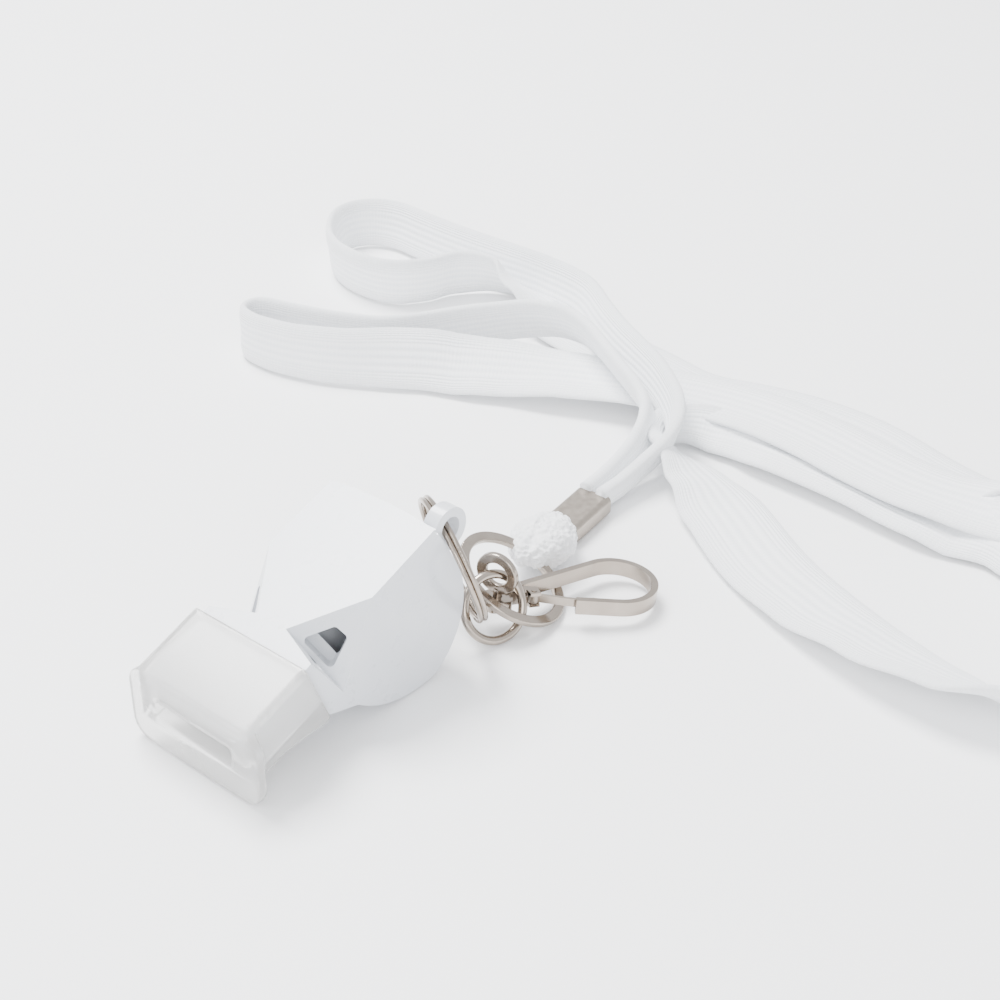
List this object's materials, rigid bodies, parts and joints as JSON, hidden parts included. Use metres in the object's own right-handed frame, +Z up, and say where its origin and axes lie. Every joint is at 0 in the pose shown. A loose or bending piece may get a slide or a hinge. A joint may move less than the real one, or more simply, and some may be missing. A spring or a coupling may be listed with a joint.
{
  "type": "pealess whistle on a lanyard",
  "caption": "Pealess training whistle with a soft mouth grip, joined by rings and a swivel snap hook to a flat woven lanyard.",
  "frame": {"origin": "middle of the footprint of the whistle, rings and hook, on the surface they lie on", "axes": "+X from the mouthpiece to the rear of the whistle, +Y across the whistle, +Z up"},
  "size_m": [0.1429, 0.2069, 0.0257],
  "materials": {
    "shell": "white gloss ABS",
    "grip": "clear soft rubber",
    "metal": "nickel plate",
    "tape": "white woven tubular tape"
  },
  "bodies": {
    "lanyard": {"cord_crimp": "metal", "cord_loop": "tape", "tape_strand_out": "tape", "tape_loop_far": "tape", "tape_band_right": "tape", "tape_turn_right": "tape", "tape_band_under": "tape", "tape_fold": "tape", "tape_band_left": "tape", "tape_turn_left": "tape", "tape_band_top": "tape", "tape_loop_near": "tape", "tape_strand_back": "tape"},
    "cord_ring": {"cord_ring": "metal"},
    "link_ring": {"link_ring": "metal"},
    "split_ring": {"split_ring": "metal"},
    "whistle": {"body_shell": "shell", "deck_cover": "shell", "windway_insert": "shell", "mouth_grip": "grip"},
    "eye": {"swivel_eye": "metal"},
    "hook": {"hook_frame": "metal", "gate_pin": "metal"},
    "gate": {"hook_gate": "metal"}
  },
  "joints": [
    {"name": "cord_ring_swing", "type": "hinge", "parent": "lanyard", "child": "cord_ring", "pos_m": [0.02704, 0.00147, 0.0042], "axis": [-0.2157, 0.8338, 0.5082], "range_deg": [-2, 2]},
    {"name": "link_ring_swing", "type": "hinge", "parent": "cord_ring", "child": "link_ring", "pos_m": [0.01128, -0.00311, 0.00662], "axis": [0.124, -0.8607, -0.4938], "range_deg": [0, 2]},
    {"name": "split_ring_swing", "type": "hinge", "parent": "link_ring", "child": "split_ring", "pos_m": [0.00874, -0.00172, 0.00805], "axis": [-0.7129, -0.131, -0.6889], "range_deg": [-2, 2]},
    {"name": "whistle_swing", "type": "hinge", "parent": "split_ring", "child": "whistle", "pos_m": [0.00363, -0.00219, 0.02251], "axis": [0, 1, 0], "range_deg": [-2, 2]},
    {"name": "eye_swing", "type": "hinge", "parent": "link_ring", "child": "eye", "pos_m": [0.01438, -0.00273, 0.00922], "axis": [-0.8344, 0.4092, 0.3692], "range_deg": [-2, 2]},
    {"name": "hook_swivel", "type": "hinge", "parent": "eye", "child": "hook", "pos_m": [0.01436, -0.0026, 0.005], "axis": [0, 0, 1], "range_deg": [-2, 1]},
    {"name": "gate_hinge", "type": "hinge", "parent": "hook", "child": "gate", "pos_m": [0.0189, -0.00568, 0.00408], "axis": [0.089, -0.0514, 0.9947], "range_deg": [0, 16], "stiffness_Nm_per_rad": 0.0005}
  ]
}
